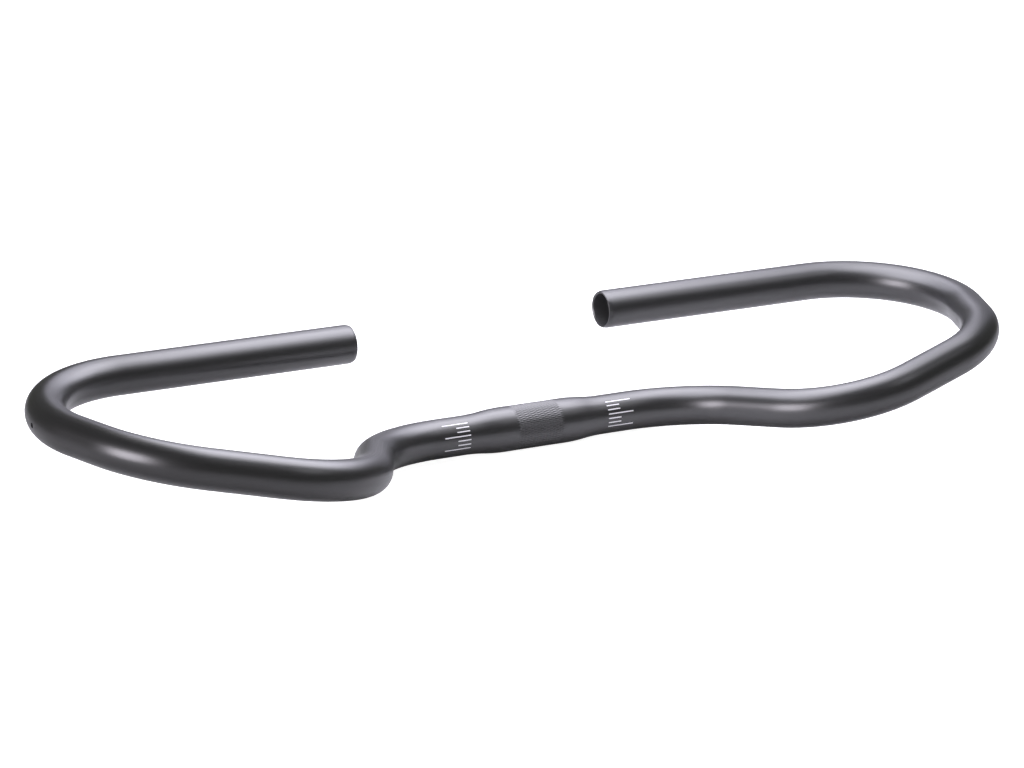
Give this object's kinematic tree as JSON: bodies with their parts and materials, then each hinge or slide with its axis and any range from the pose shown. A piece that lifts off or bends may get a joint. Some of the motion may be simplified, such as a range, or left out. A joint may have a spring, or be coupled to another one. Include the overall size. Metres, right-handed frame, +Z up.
{
  "type": "trekking handlebar",
  "caption": "Multi-position butterfly handlebar bent from one black aluminium tube, with a knurled stem clamp, forward loops and inward-facing grip ends.",
  "frame": {"origin": "centre of the stem clamp, on the bar's axis", "axes": "+X along the stem clamp, -Y forward away from the rider, +Z up as the bar is clamped in the stem"},
  "size_m": [0.5918, 0.1751, 0.0666],
  "materials": {
    "bar": "satin black finish over aluminium"
  },
  "bodies": {
    "root": {"handlebar": "bar"}
  },
  "joints": []
}
